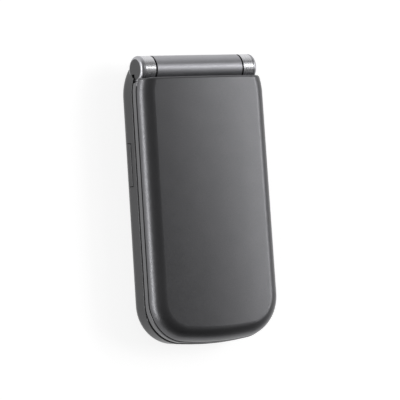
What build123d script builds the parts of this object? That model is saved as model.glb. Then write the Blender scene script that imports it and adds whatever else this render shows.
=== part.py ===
from build123d import *
import math
import os

# A closed flip phone, lying on its back. +X is the phone's right, +Y points to the hinge and
# +Z out of the lid. The origin is under the middle of the phone, on its back. Sizes are in mm.

# ---- Outline of both halves, seen from above
body_length = 105.0         # bottom end to the back of the hinge barrel
half_width_low = 26.78      # at the bottom end
half_width_far = 26.25      # where the sides would meet a square hinge end
end_arc_radius = 112.0      # the bottom end is a shallow arc
end_corner_radius = 14.6
shoulder_setback = 9.8      # from the hinge axis back to where the shoulders start
shoulder_radius = 20.0
end_edge_radius = 1.0       # small rounding round each half's hinge end

# ---- Heights and walls
base_height = 9.5
lid_height = 8.6
crown_sag = 0.8             # the lid's face falls this much from its middle to its long edges
parting_gap = 0.6           # between the closed halves
back_edge_radius = 4.8
lid_edge_radius = 5.6
soft_edge = 0.4             # rounding of the edges along the parting gap
wall = 1.3
fit_gap = 0.05              # between pieces that sit on or in each other
cover_gap = 0.1             # between covers, caps and what they close
slip_gap = 0.2              # round pieces that slide in an opening
part_gap = 0.35             # between parts that lie side by side inside
beyond = 300.0              # past the phone in any direction, for cuts

# ---- Hinge
barrel_radius = 4.93
axis_rise = 0.74            # hinge axis above the base's deck
lid_end_setback = 3.3       # from the hinge axis back to the lid's end
base_end_reach = 0.93       # from the hinge axis on to the base's end
barrel_half_length = 18.2
barrel_edge = 0.25
barrel_end_gap = 0.4        # between the barrel and each ear
band_length = 4.5           # polished band round each ear
band_thickness = 0.88
band_edge = 0.2
cap_thickness = 1.45
cap_rim_radius = 1.25
cap_peg_radius = 1.9
cap_peg_length = 0.5
thin_skin = 0.15            # of the lid cover, outboard of each ear cap
turning_gap = 0.3           # round the barrel and ears, to the half that turns past them
barrel_line_gap = 0.12      # between the barrel and the lid cover, which turn together
tongue_width = 18.0         # flat tongue that holds the barrel in the lid frame
tongue_height = 1.2
tongue_reach = 2.4          # past the end wall, into the lid
cartridge_radius = 3.55
cartridge_length = 15.0
cartridge_setback = 0.3     # from the barrel's end
cartridge_wall = 0.95
cartridge_end = 1.2
stack_gap = 0.1             # between the pieces in the cartridge
shaft_radius = 1.1
shaft_square = 3.6
shaft_into_spring = 2.8
socket_wall = 0.5           # outer end of the ear's socket for the shaft
bush_radius = 3.0
bush_wall = 0.8
bush_depth = 3.0            # how far the bush reaches into the barrel
running_gap = 0.08          # between turning metal parts
spring_wire = 0.5
spring_pitch = 1.15
spring_turns = 4
cam_length = 2.6
cam_notch_width = 1.0
cam_notch_depth = 0.6
follower_length = 2.8
flex_x = -8.75              # middle of the flexible circuit's flat tail
flex_width = 4.5
flex_sheet = 0.15
flex_rise = 1.55            # of the flat tail above the hinge axis
flex_roll_radius = 1.7
flex_reach = 7.0            # of the tail, past the earpiece

# ---- Lid
band_height = 3.0           # visible height of the lid frame
frame_edge = 0.9            # rounding of the frame's upper edge
frame_tip_setback = 0.35    # of the frame's bottom end, from the base's
cover_tip_setback = 1.2     # the same for the lid cover
cover_reach = 0.4           # of the lid cover's sides, past the lid frame's
seam_gap = 0.5              # groove between the lid frame and the lid cover
seam_depth = 0.7
lip_height = 0.6
lip_width = 0.8
frame_plate = 1.55
lens_width = 44.0
lens_thickness = 0.8
lens_corner = 4.0
lens_recess = 0.15
lens_low_margin = 15.5      # from the bottom end to the display window
lens_hinge_margin = 18.5    # from the hinge axis to the display window
window_side = 1.5           # from the window's edge in to the display, at the sides
window_end = 5.0            # the same at both ends
display_thickness = 1.8
display_border = 1.2        # what the frame covers round the display
tray_sheet = 0.3
lid_board_thickness = 0.6
lid_board_margin = 1.0      # from the display's edges in to the lid board
board_corner = 1.0
driver_chip = (9.0, 9.0, 1.0)       # width, length and height of each chip
power_chip = (6.0, 4.0, 0.8)
prop_radius = 1.2           # posts that hold the lid board down
prop_inset = 4.5
earpiece_width = 12.0
earpiece_depth = 7.0
earpiece_height = 2.6
earpiece_corner = 1.5
earpiece_setback = 12.0     # from the hinge axis
earpiece_slot = 8.0
earpiece_slot_height = 1.3
mesh_margin = 0.6           # of the dust mesh, round the slot
mesh_thickness = 0.2
magnet_size = (6.0, 4.0, 1.5)
magnet_x = 13.0
magnet_ahead = 1.0          # of the earpiece's middle, towards the hinge
bumper_radius = 2.1
bumper_depth = 1.1          # of the hole for bumper and screw head
motor_radius = 5.0
motor_height = 2.5
motor_drop = 12.0           # from the middle of the display down to the motor

# ---- Screws
screw_head_radius = 1.4
screw_head_height = 0.7
screw_radius = 0.7
screw_reach = 3.8           # of a lid screw, into its boss
boss_radius = 1.9
screw_in_from_side = 5.5
screw_in_at_bottom = 7.5    # the same at the rounded bottom end
screw_up_from_end = 6.6
screw_setback = 8.9         # the screws nearest the hinge, from its axis

# ---- Keypad
key_width = 14.4
key_height = 9.8
key_space = 1.2             # between keys side by side
row_space = 1.6             # between rows
key_corner = 1.8
key_edge = 0.35
first_row_up = 14.3         # middle of the lowest row, from the bottom end
pad_width = 20.6            # ring key for the four directions
pad_corner = 5.5
pad_space = 5.8             # between the top row of digits and the ring key
side_key_height = 9.9
ok_radius = 5.0
ok_proud = 0.05             # above the ring key
key_rise = 0.2              # key tops above the deck
key_travel = 0.3
key_flange = 0.45           # how far a key's flange reaches out, and its thickness
deck_thickness = 1.4
mat_gap = 0.02              # between a pressed key and the mat
mat_margin = 1.0            # from the board's edge in to the mat and the dome sheet
key_mat_thickness = 0.2
dome_height = 0.2
dome_radius = 2.2
dome_sheet_thickness = 0.1
board_thickness = 0.8
board_inset = 1.9

# ---- Base
cover_parting = 2.1         # height of the battery cover's rim
cover_wall = 1.0
cover_rim = 1.4
cover_side_rim = 2.6        # flat rim along the cover's long sides and bottom end
cover_end_setback = 3.0     # battery cover's end, from the hinge axis
grip_width = 12.0           # thumb grip on the battery cover
grip_groove = 0.5           # width of each groove
grip_depth = 0.3
grip_pitch = 1.2
grip_grooves = 6
grip_setback = 4.0          # from the battery cover's end
chassis_rise = 0.15         # inner frame above the battery cover's rim
battery_width = 40.0
battery_corner = 1.5
battery_up = 8.9            # battery's lower end, from the bottom end
bay_gap = 0.3
bay_roof = 0.5
contact_room = 5.2          # between the battery bay and the upper compartment
contact_width = 10.0
contact_depth = 2.6
contact_pitch = 3.0
contact_blade = 1.0         # width of each contact, and how far it stands out
compartment_half_width = 20.5
usb_width = 7.5
usb_share = 0.7             # of the height between the inner frame's bottom and the board
usb_depth = 5.4
usb_recess = 1.2
usb_sheet = 0.35
usb_tongue_width = 3.6
usb_tongue_height = 0.6
usb_opening_gap = 0.3
antenna_size = (10.6, 3.6)
antenna_x = 10.8
antenna_up = 5.2            # middle of the antenna, from the bottom end
antenna_low_z = 2.5
microphone_size = (3.4, 3.0, 1.1)
microphone_up = 5.0
microphone_hole = 0.5
microphone_room = 2.2       # radius kept clear round the microphone
connector_size = (9.0, 3.4, 1.1)
sensor_size = (3.0, 2.0, 1.0)
radio_chip = (8.0, 7.0, 0.9)
can_width = 15.0
can_height = 1.4
can_sheet = 0.25
can_x = -11.0
sim_width = 15.0
sim_length = 12.0
sim_height = 1.3
sim_sheet = 0.3
sim_window = 7.0
sim_window_corner = 1.0
sim_x = 8.5
rocker_length = 15.4
rocker_height = 2.5
rocker_drop = 0.8           # of the rocker's flange, under the deck
rocker_setback = 34.0       # middle of the rocker, from the hinge axis
rocker_proud = 0.2
rocker_edge = 0.35
rocker_swing_gap = 0.35
rocker_flange = 0.5
rocker_overlap = 0.9        # of the flange past the rocker's ends
rocker_pivot_radius = 0.35
switch_gap = 0.3
switch_depth = 0.9
switch_offset = 5.2         # of each switch from the rocker's middle
switch_width = 3.4
switch_room = 1.5           # past each end of the rocker
camera_x = 12.0
camera_radius = 3.7
camera_size = 8.4
camera_barrel_radius = 3.0
camera_barrel_length = 1.2
window_recess = 0.2
window_thickness = 0.8
speaker_x = -11.5
speaker_width = 15.0
speaker_length = 11.0
speaker_corner = 2.0
speaker_slot = (9.0, 0.9)
speaker_slot_pitch = 1.8
speaker_slots = 5
speaker_mesh_margin = 1.0   # of the dust mesh, past the slots' ends

# ---- Places that follow from the sizes above
bottom_y = -body_length / 2
hinge_y = body_length / 2 - barrel_radius
deck_z = base_height
hinge_z = deck_z + axis_rise
lid_z = deck_z + parting_gap
lid_top_z = lid_z + lid_height
seam_z = lid_z + band_height
cover_z = seam_z + seam_gap
ceiling_z = lid_top_z - wall
crown_reach = half_width_low + cover_reach - lid_edge_radius
crown_radius = (crown_reach**2 + crown_sag**2) / (2 * crown_sag)
lid_end_y = hinge_y - lid_end_setback
base_end_y = hinge_y + base_end_reach
shoulder_y = hinge_y - shoulder_setback
far_y = shoulder_y + shoulder_radius
ear_x = barrel_half_length + barrel_end_gap
band_end_x = ear_x + band_length
cap_x = band_end_x + cover_gap
cap_end_x = cap_x + cap_thickness
lug_radius = barrel_radius - band_thickness - fit_gap
relief_radius = barrel_radius + turning_gap
relief_end_x = cap_end_x + thin_skin
cartridge_end_x = barrel_half_length - cartridge_setback
cartridge_start_x = cartridge_end_x - cartridge_length
cam_x = cartridge_end_x - cartridge_end - stack_gap - cam_length
follower_x = cam_x - stack_gap - follower_length
spring_end_x = follower_x - stack_gap
inner_radius = cartridge_radius - cartridge_wall
bush_start_x = -barrel_half_length + bush_depth
interior_end_y = hinge_y - relief_radius - wall
plate_z = lid_z + frame_plate
display_z = plate_z + fit_gap
tray_z = display_z + display_thickness + fit_gap
lid_board_z = tray_z + tray_sheet + fit_gap
lid_board_top_z = lid_board_z + lid_board_thickness
lens_length = body_length - barrel_radius - lens_low_margin - lens_hinge_margin
lens_y = hinge_y - lens_hinge_margin - lens_length / 2
display_width = lens_width - 2 * window_side
display_length = lens_length - 2 * window_end
earpiece_y = hinge_y - earpiece_setback
magnet_y = earpiece_y + magnet_ahead
under_deck_z = deck_z - deck_thickness
flange_z = under_deck_z - fit_gap - key_flange
mat_z = flange_z - key_travel - mat_gap - key_mat_thickness
board_top_z = mat_z - fit_gap - dome_height - dome_sheet_thickness
board_z = board_top_z - board_thickness
chassis_top_z = board_z - fit_gap
chassis_z = cover_parting + chassis_rise
chassis_end_y = interior_end_y - slip_gap
compartment_end_y = chassis_end_y - wall
compartment_y = compartment_end_y - sim_length - speaker_length - 3 * part_gap
battery_end_y = compartment_y - contact_room
battery_length = battery_end_y - bottom_y - battery_up
battery_y = battery_end_y - battery_length / 2
battery_z = cover_wall + cover_gap
bay_top_z = chassis_top_z - bay_roof
sim_y = compartment_y + part_gap + sim_length / 2
speaker_y = compartment_end_y - part_gap - speaker_length / 2
camera_y = speaker_y
microphone_y = bottom_y + microphone_up
usb_height = usb_share * (board_z - chassis_z)
rocker_low_z = under_deck_z - rocker_drop - rocker_overlap / 2 - rocker_height
column_pitch = key_width + key_space
row_pitch = key_height + row_space
rows_y = [bottom_y + first_row_up + row * row_pitch for row in range(4)]
pad_y = rows_y[-1] + key_height / 2 + pad_space + pad_width / 2
keys_end_x = column_pitch + key_width / 2
side_key_width = keys_end_x - pad_width / 2 - key_space
side_key_x = keys_end_x - side_key_width / 2
side_key_rise = (side_key_height + row_space) / 2
mat_end_y = pad_y + max(pad_width / 2, side_key_rise + side_key_height / 2) + mat_margin
rocker_y = hinge_y - rocker_setback
screw_low_y = bottom_y + screw_up_from_end
screw_high_y = hinge_y - screw_setback
side_slope = (half_width_low - half_width_far) / (far_y - bottom_y)


def half_width_at(y):
    """Half width of the straight sides at a place along the phone."""
    return half_width_low - side_slope * (y - bottom_y)


rocker_flange_x = half_width_at(rocker_y) - wall - rocker_swing_gap
rocker_inner_x = rocker_flange_x - rocker_flange
switch_x = rocker_inner_x - switch_gap
switch_strip_x = switch_x - switch_depth
screw_places = [
    (side * (half_width_low - setback), y)
    for setback, y in ((screw_in_at_bottom, screw_low_y), (screw_in_from_side, screw_high_y))
    for side in (-1, 1)
]


# ---- Basic shapes
def block(x0, x1, y0, y1, z0, z1):
    """Box between two corners."""
    size = Box(x1 - x0, y1 - y0, z1 - z0)
    return Pos((x0 + x1) / 2, (y0 + y1) / 2, (z0 + z1) / 2) * size


def pad(width, length, x, y, z0, z1, corner):
    """Upright slab with rounded corners."""
    return Pos(x, y, z0) * extrude(RectangleRounded(width, length, corner), z1 - z0)


def post(radius, x, y, z0, z1):
    """Upright cylinder."""
    return Pos(x, y, (z0 + z1) / 2) * Cylinder(radius, z1 - z0)


def axle(radius, x0, x1):
    """Cylinder on the hinge axis, between two places along X."""
    turn = Pos((x0 + x1) / 2, hinge_y, hinge_z) * Rot(0, 90, 0)
    return turn * Cylinder(radius, abs(x1 - x0))


def both_ears(radius, x0, x1):
    """The same cylinder on the hinge axis at both ears."""
    return axle(radius, x0, x1) + axle(radius, -x1, -x0)


def plan(inset, end_y, tip_setback=0):
    """Outline of a half seen from above, set in from its walls and cut square at end_y."""
    low = half_width_low - inset
    far = half_width_far - inset
    tip_y = bottom_y + tip_setback + inset
    arc_radius = end_arc_radius - inset
    corner_y = tip_y + arc_radius - math.sqrt(arc_radius**2 - low**2)
    edge = Polyline((-low, corner_y), (-far, far_y - inset), (far, far_y - inset), (low, corner_y))
    edge += ThreePointArc((low, corner_y), (0, tip_y), (-low, corner_y))
    face = make_face(edge)
    corners = face.vertices().sort_by(Axis.Y)
    face = fillet(corners[:2], end_corner_radius - inset)
    corners = [v for v in face.vertices() if v.Y > far_y - inset - fit_gap]
    face = fillet(corners, shoulder_radius - inset)
    return face & Pos(0, end_y - beyond / 2) * Rectangle(beyond, beyond)


def slab(inset, end_y, z0, z1, tip_setback=0):
    """Plain upright slab of the phone's outline."""
    return Pos(0, 0, z0) * extrude(plan(inset, end_y, tip_setback), z1 - z0)


def half_shell(inset, end_y, z0, z1, low_radius=0, top_radius=0, end_radius=0, crown=0,
               tip_setback=0):
    """Solid half of the phone, its long edges rounded, its hinge end cut square and its top
    crowned across the phone where a crown radius is given."""
    solid = slab(inset, far_y + wall, z0, z1, tip_setback)
    if crown > 0:
        solid = solid & Pos(0, 0, z1 - crown) * Rot(90, 0, 0) * Cylinder(crown, 2 * beyond)
    if low_radius > 0:
        solid = fillet(solid.faces().sort_by(Axis.Z)[0].edges(), low_radius)
    if top_radius > 0:
        solid = fillet(solid.faces().sort_by(Axis.Z)[-1].edges(), top_radius)
    solid = solid & block(-beyond, beyond, -beyond, end_y, z0 - 1, z1 + 1)
    if end_radius > 0:
        end_face = solid.faces().sort_by(Axis.Y)[-1]
        solid = fillet(end_face.edges(), end_radius)
    return solid


# ---- Lid
def lid_cover():
    """Outer shell of the lid, hollow and slightly crowned, with bosses for the lid screws."""
    shell = half_shell(-cover_reach, lid_end_y, lid_z, lid_top_z, top_radius=lid_edge_radius,
                       end_radius=end_edge_radius, crown=crown_radius,
                       tip_setback=cover_tip_setback)
    shell = shell & block(-beyond, beyond, -beyond, beyond, cover_z, lid_top_z + 1)
    hollow = half_shell(wall - cover_reach, lid_end_y - wall, lid_z, ceiling_z,
                        top_radius=lid_edge_radius - wall, crown=crown_radius - wall,
                        tip_setback=cover_tip_setback)
    half = wall / 2
    under_skin = half_shell(half - cover_reach, lid_end_y - half, lid_z, lid_top_z - half,
                            top_radius=lid_edge_radius - half, crown=crown_radius - half,
                            tip_setback=cover_tip_setback)
    shell -= hollow - axle(relief_radius + wall, -beyond, beyond)
    shell -= axle(barrel_radius + barrel_line_gap, -barrel_half_length - cover_gap,
                  barrel_half_length + cover_gap)
    shell -= both_ears(relief_radius, barrel_half_length, relief_end_x)
    for x, y in screw_places:
        shell += post(boss_radius, x, y, plate_z + fit_gap, lid_top_z) & under_skin
        shell -= post(screw_radius, x, y, lid_z, plate_z + screw_reach + slip_gap)
    for x in (prop_inset - display_width / 2, display_width / 2 - prop_inset):
        for y in (prop_inset - display_length / 2, display_length / 2 - prop_inset):
            prop = post(prop_radius, x, lens_y + y, lid_board_top_z + fit_gap, lid_top_z)
            shell += prop & under_skin
    return shell


def flex_slot():
    """Slot for the flexible circuit, from the hinge barrel into the lid."""
    half = flex_width / 2 + 2 * fit_gap
    tail_z = hinge_z + flex_rise
    return block(flex_x - half, flex_x + half, interior_end_y - lip_width - 1, hinge_y - 1,
                 tail_z - fit_gap, tail_z + flex_sheet + 2 * fit_gap)


def tongue(grow):
    """Flat tongue of the hinge barrel, which reaches through the lid frame's end wall."""
    return block(-tongue_width / 6 - grow, tongue_width * 5 / 6 + grow,
                 interior_end_y - tongue_reach + lip_width - grow,
                 hinge_y - cartridge_radius - (barrel_radius - cartridge_radius) / 4,
                 display_z - grow, display_z + tongue_height + grow)


def lid_frame():
    """Inner frame of the lid, with its windows and the seats of the cover and the barrel."""
    frame = half_shell(0, lid_end_y, lid_z, seam_z, soft_edge, frame_edge, soft_edge / 2,
                       tip_setback=frame_tip_setback)
    land = slab(seam_depth, interior_end_y, seam_z - 1, cover_z - fit_gap, cover_tip_setback)
    lip = slab(wall + cover_gap, interior_end_y, seam_z - 1, cover_z + lip_height,
               cover_tip_setback)
    frame += land + lip
    frame -= slab(wall + cover_gap + lip_width, interior_end_y - lip_width, plate_z, lid_top_z,
                  cover_tip_setback)
    frame -= both_ears(relief_radius, barrel_half_length, relief_end_x)
    frame -= axle(barrel_radius + fit_gap, -beyond, beyond)
    frame -= tongue(fit_gap)
    frame -= flex_slot()
    lens_seat_z = lid_z + lens_recess + lens_thickness + fit_gap
    frame -= pad(lens_width + 2 * fit_gap, lens_length + 2 * fit_gap, 0, lens_y,
                 lid_z - 1, lens_seat_z, lens_corner)
    view_width = display_width - 2 * display_border
    view_length = display_length - 2 * display_border
    frame -= pad(view_width, view_length, 0, lens_y, lid_z - 1, plate_z + 1, soft_edge)
    frame -= pad(earpiece_slot, earpiece_slot_height, 0, earpiece_y, lid_z - 1, plate_z + 1,
                 earpiece_slot_height / 2 - fit_gap)
    mesh_width = earpiece_slot + 2 * (mesh_margin + fit_gap)
    mesh_length = earpiece_slot_height + 2 * (mesh_margin + fit_gap)
    frame -= pad(mesh_width, mesh_length, 0, earpiece_y, plate_z - 2 * mesh_thickness,
                 plate_z + 1, mesh_length / 2 - fit_gap)
    for x, y in screw_places:
        frame -= post(boss_radius + cover_gap, x, y, plate_z, lid_top_z)
        frame -= post(screw_radius + cover_gap, x, y, lid_z - 1, plate_z + 1)
        frame -= post(bumper_radius + fit_gap, x, y, lid_z - 1, lid_z + bumper_depth)
    return frame


def display_lens():
    """Clear window over the display, on the inner face of the lid."""
    low_z = lid_z + lens_recess
    return pad(lens_width, lens_length, 0, lens_y, low_z, low_z + lens_thickness, lens_corner)


def display_module():
    """Display panel behind the window."""
    return pad(display_width, display_length, 0, lens_y, display_z,
               display_z + display_thickness, soft_edge)


def display_tray():
    """Thin metal tray that clips over the back of the display."""
    margin = fit_gap + tray_sheet
    tray = pad(display_width + 2 * margin, display_length + 2 * margin, 0, lens_y,
               display_z, tray_z + tray_sheet, soft_edge + margin)
    return tray - pad(display_width + 2 * fit_gap, display_length + 2 * fit_gap, 0, lens_y,
                      display_z - 1, tray_z, soft_edge + fit_gap)


def chip(size, x, y, z):
    """Chip or other small block on a circuit board."""
    width, length, height = size
    return pad(width, length, x, y, z, z + height, key_edge / 2)


def lid_board():
    """Small circuit board behind the display, with its driver chips."""
    board = pad(display_width - 2 * lid_board_margin, display_length - 2 * lid_board_margin,
                0, lens_y, lid_board_z, lid_board_top_z, board_corner)
    board += chip(driver_chip, -display_width / 5, lens_y + display_length / 6, lid_board_top_z)
    board += chip(power_chip, display_width / 5, lens_y + display_length / 5, lid_board_top_z)
    return board


def vibration_motor():
    """Coin motor on the lid board."""
    low_z = lid_board_top_z + fit_gap
    return post(motor_radius, 0, lens_y - motor_drop, low_z, low_z + motor_height)


def earpiece():
    """Earpiece receiver behind its slot in the lid frame."""
    return pad(earpiece_width, earpiece_depth, 0, earpiece_y, display_z,
               display_z + earpiece_height, earpiece_corner)


def earpiece_mesh():
    """Dust mesh under the earpiece."""
    width = earpiece_slot + 2 * mesh_margin
    length = earpiece_slot_height + 2 * mesh_margin
    low_z = plate_z - 2 * mesh_thickness + fit_gap
    return pad(width, length, 0, earpiece_y, low_z, low_z + mesh_thickness, length / 2 - fit_gap)


def lid_magnet():
    """Magnet that tells the base that the lid is closed."""
    return chip(magnet_size, magnet_x, magnet_y, display_z)


def lid_screws():
    """Four screws up through the lid frame into the lid cover."""
    head_z = lid_z + bumper_depth - fit_gap - screw_head_height / 3
    screws = []
    for x, y in screw_places:
        screw = post(screw_radius - fit_gap, x, y, head_z, plate_z + screw_reach)
        screw += post(screw_head_radius, x, y, head_z, lid_z + bumper_depth - fit_gap)
        screws.append(screw)
    return Compound(children=screws)


def lid_bumpers():
    """Four rubber bumpers that hide the lid screws and meet the base's deck."""
    top_z = lid_z + bumper_depth - 2 * fit_gap - screw_head_height / 3
    bumpers = []
    for x, y in screw_places:
        bumper = post(bumper_radius, x, y, deck_z + fit_gap, top_z)
        bumpers.append(fillet(bumper.edges().group_by(Axis.Z)[0], key_edge / 2))
    return Compound(children=bumpers)


# ---- Hinge
def hinge_barrel():
    """Barrel of the hinge on the lid's end, bored for the cartridge, the bush and the flex."""
    barrel = axle(barrel_radius, -barrel_half_length, barrel_half_length)
    barrel = fillet(barrel.edges().filter_by(GeomType.CIRCLE), barrel_edge)
    barrel += tongue(0)
    barrel -= axle(cartridge_radius + fit_gap, cartridge_start_x - stack_gap, beyond)
    barrel -= axle(bush_radius + running_gap, -beyond, bush_start_x)
    barrel -= axle(cartridge_radius, bush_start_x, cartridge_start_x - stack_gap - wall)
    barrel -= flex_slot()
    return barrel


def hinge_housing():
    """Barrel of the hinge cartridge, pressed into the hinge barrel."""
    tube = axle(cartridge_radius, cartridge_start_x, cartridge_end_x)
    tube -= axle(inner_radius, cartridge_start_x + cartridge_end, cartridge_end_x - cartridge_end)
    return tube - axle(shaft_radius + running_gap, cartridge_end_x - cartridge_end - stack_gap,
                       beyond)


def hinge_cam():
    """Cam fixed on the hinge shaft."""
    cam = axle(inner_radius - running_gap, cam_x, cam_x + cam_length)
    notch = Pos(cam_x, hinge_y, hinge_z) * Rot(45, 0, 0)
    cam -= notch * Box(2 * cam_notch_depth, 4 * cartridge_radius, cam_notch_width)
    return cam - axle(shaft_radius + running_gap / 4, -beyond, beyond)


def hinge_follower():
    """Follower that the spring pushes against the cam."""
    follower = axle(inner_radius - fit_gap, follower_x, follower_x + follower_length)
    return follower - axle(shaft_radius + running_gap, -beyond, beyond)


def hinge_spring():
    """Coil spring of the hinge cartridge."""
    height = spring_turns * spring_pitch
    radius = inner_radius - spring_wire / 2 - stack_gap
    path = Helix(spring_pitch, height, radius)
    wire = Plane(path @ 0, z_dir=path % 0) * Circle(spring_wire / 2)
    coil = sweep(wire, path, is_frenet=True)
    start_x = spring_end_x - height - spring_wire / 2
    return Pos(start_x, hinge_y, hinge_z) * Rot(0, 90, 0) * coil


def hinge_shaft():
    """Shaft of the hinge, keyed into the right ear by its square end."""
    shaft = axle(shaft_radius, follower_x - shaft_into_spring, ear_x + slip_gap)
    half = shaft_square / 2
    return shaft + block(ear_x + stack_gap, band_end_x - socket_wall - stack_gap,
                         hinge_y - half, hinge_y + half, hinge_z - half, hinge_z + half)


def hinge_bush():
    """Hollow bush of the left ear, through which the flexible circuit runs."""
    bush = axle(bush_radius, slip_gap - band_end_x, bush_start_x - slip_gap)
    return bush - axle(bush_radius - bush_wall, -beyond, beyond)


def hinge_flex():
    """Flexible circuit, rolled up in the hinge and laid flat into the lid."""
    roll = axle(flex_roll_radius, cap_peg_length + slip_gap - band_end_x, flex_x + flex_width)
    roll -= axle(flex_roll_radius - flex_sheet, -beyond, beyond)
    tail_z = hinge_z + flex_rise
    return roll + block(flex_x - flex_width / 2, flex_x + flex_width / 2,
                        earpiece_y - flex_reach, hinge_y, tail_z, tail_z + flex_sheet)


def ear_bands():
    """Polished bands round the ears, open where the ears join the base."""
    band = axle(barrel_radius, ear_x, band_end_x) - axle(lug_radius + fit_gap, 0, beyond)
    outer = band.edges().filter_by(GeomType.CIRCLE).group_by(SortBy.RADIUS)[-1]
    band = fillet(outer, band_edge)
    band -= block(0, beyond, 0, base_end_y + fit_gap, -beyond, deck_z + fit_gap)
    return Compound(children=[band, mirror(band, Plane.YZ)])


def ear_caps():
    """End caps of the ears, fitted against the base's side walls."""
    cap = axle(barrel_radius, cap_x, cap_end_x)
    cap = fillet(cap.edges().group_by(Axis.X)[-1], cap_rim_radius)
    cap -= slab(-fit_gap, base_end_y + fit_gap, -1, deck_z + fit_gap)
    cap += axle(cap_peg_radius, cap_x - cap_peg_length, cap_x + cap_peg_length)
    return Compound(children=[cap, mirror(cap, Plane.YZ)])


# ---- Keys
def key_opening(width, length, x, y, corner):
    """Opening in the deck round a key."""
    return pad(width + 2 * slip_gap, length + 2 * slip_gap, x, y, under_deck_z - 1, deck_z + 1,
               corner + slip_gap)


def plain_key(width, length, x, y, corner=key_corner):
    """Rounded key with a flange that stays under the deck."""
    key = pad(width, length, x, y, flange_z, deck_z + key_rise, corner)
    key = fillet(key.edges().group_by(Axis.Z)[-1], key_edge)
    return key + pad(width + 2 * key_flange, length + 2 * key_flange, x, y, flange_z,
                     flange_z + key_flange, corner)


def key_pad():
    """Ring key for the four directions."""
    ring = plain_key(pad_width, pad_width, 0, pad_y, pad_corner)
    ring -= post(ok_radius + slip_gap, 0, pad_y, flange_z - 1, deck_z + 2)
    clear_z = flange_z + key_flange + key_travel + cover_gap
    return ring - post(ok_radius + key_flange + 2 * slip_gap, 0, pad_y, flange_z - 1, clear_z)


def key_ok():
    """Round key in the middle of the ring key."""
    key = post(ok_radius, 0, pad_y, flange_z, deck_z + key_rise + ok_proud)
    key = fillet(key.edges().group_by(Axis.Z)[-1], key_edge)
    return key + post(ok_radius + key_flange, 0, pad_y, flange_z, flange_z + key_flange)


key_rows = (
    ("key_star", "key_0", "key_hash"),
    ("key_7", "key_8", "key_9"),
    ("key_4", "key_5", "key_6"),
    ("key_1", "key_2", "key_3"),
)
plain_keys = {
    name: (key_width, key_height, (column - 1) * column_pitch, y)
    for names, y in zip(key_rows, rows_y)
    for column, name in enumerate(names)
}
side_keys = (("key_call", -1, -1), ("key_end", 1, -1), ("key_soft_left", -1, 1),
             ("key_soft_right", 1, 1))
for name, side, up in side_keys:
    plain_keys[name] = (side_key_width, side_key_height, side * side_key_x,
                        pad_y + up * side_key_rise)


# ---- Base
def base_body():
    """Whole outside of the base, solid."""
    solid = half_shell(0, base_end_y, 0, base_height, low_radius=back_edge_radius)
    end_face = solid.faces().sort_by(Axis.Y)[-1]
    end_edges = [edge for edge in end_face.edges() if edge.center().Z < base_height - fit_gap]
    solid = fillet(end_edges, end_edge_radius)
    return fillet(solid.edges().group_by(Axis.Z)[-1], soft_edge)


def rocker_room(grow, x0, x1):
    """Block round the volume rocker's place in the side wall."""
    half = rocker_length / 2 + grow
    return block(x0, x1, rocker_y - half, rocker_y + half,
                 rocker_low_z - grow, rocker_low_z + rocker_height + grow)


def switch_space(x1):
    """Space behind the rocker for its switches, from outside in to x1."""
    half = rocker_length / 2 + switch_room
    return block(-beyond, x1, rocker_y - half, rocker_y + half, 0, base_height)


def base_front_housing():
    """Deck, side walls and ears of the base in one moulding."""
    cover_end_y = hinge_y - cover_end_setback + cover_gap
    body = base_body()
    body -= block(-beyond, beyond, -beyond, cover_end_y, -1, cover_parting + cover_gap)
    body -= slab(wall, interior_end_y, -1, under_deck_z)
    body -= axle(relief_radius, fit_gap - ear_x, ear_x - fit_gap)
    over_deck = block(-beyond, beyond, 0, beyond, deck_z, beyond)
    under_deck = block(-beyond, beyond, 0, base_end_y, 0, deck_z)
    body -= both_ears(barrel_radius, ear_x, band_end_x) & over_deck
    body += both_ears(lug_radius, ear_x, band_end_x)
    body += both_ears(barrel_radius, ear_x, band_end_x) & under_deck
    for width, length, x, y in plain_keys.values():
        body -= key_opening(width, length, x, y, key_corner)
    body -= key_opening(pad_width, pad_width, 0, pad_y, pad_corner)
    body -= post(microphone_hole, 0, microphone_y, under_deck_z - 1, deck_z + 1)
    for x, y in screw_places:
        body += post(boss_radius, x, y, chassis_top_z + fit_gap, under_deck_z + slip_gap)
        body -= post(screw_radius, x, y, 0, under_deck_z - slip_gap)
    body -= rocker_room(slip_gap, -beyond, -rocker_inner_x)
    half = usb_width / 2 + usb_opening_gap
    body -= block(-half, half, bottom_y - 1, bottom_y + usb_recess + wall,
                  board_z - usb_height - usb_opening_gap, board_z + slip_gap)
    half = shaft_square / 2 + fit_gap
    body -= block(ear_x - 1, band_end_x - socket_wall, hinge_y - half, hinge_y + half,
                  hinge_z - half, hinge_z + half)
    body -= axle(bush_radius + fit_gap, -beyond, -barrel_half_length)
    body -= axle(cap_peg_radius + fit_gap, band_end_x - socket_wall - stack_gap, beyond)
    return body


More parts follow.
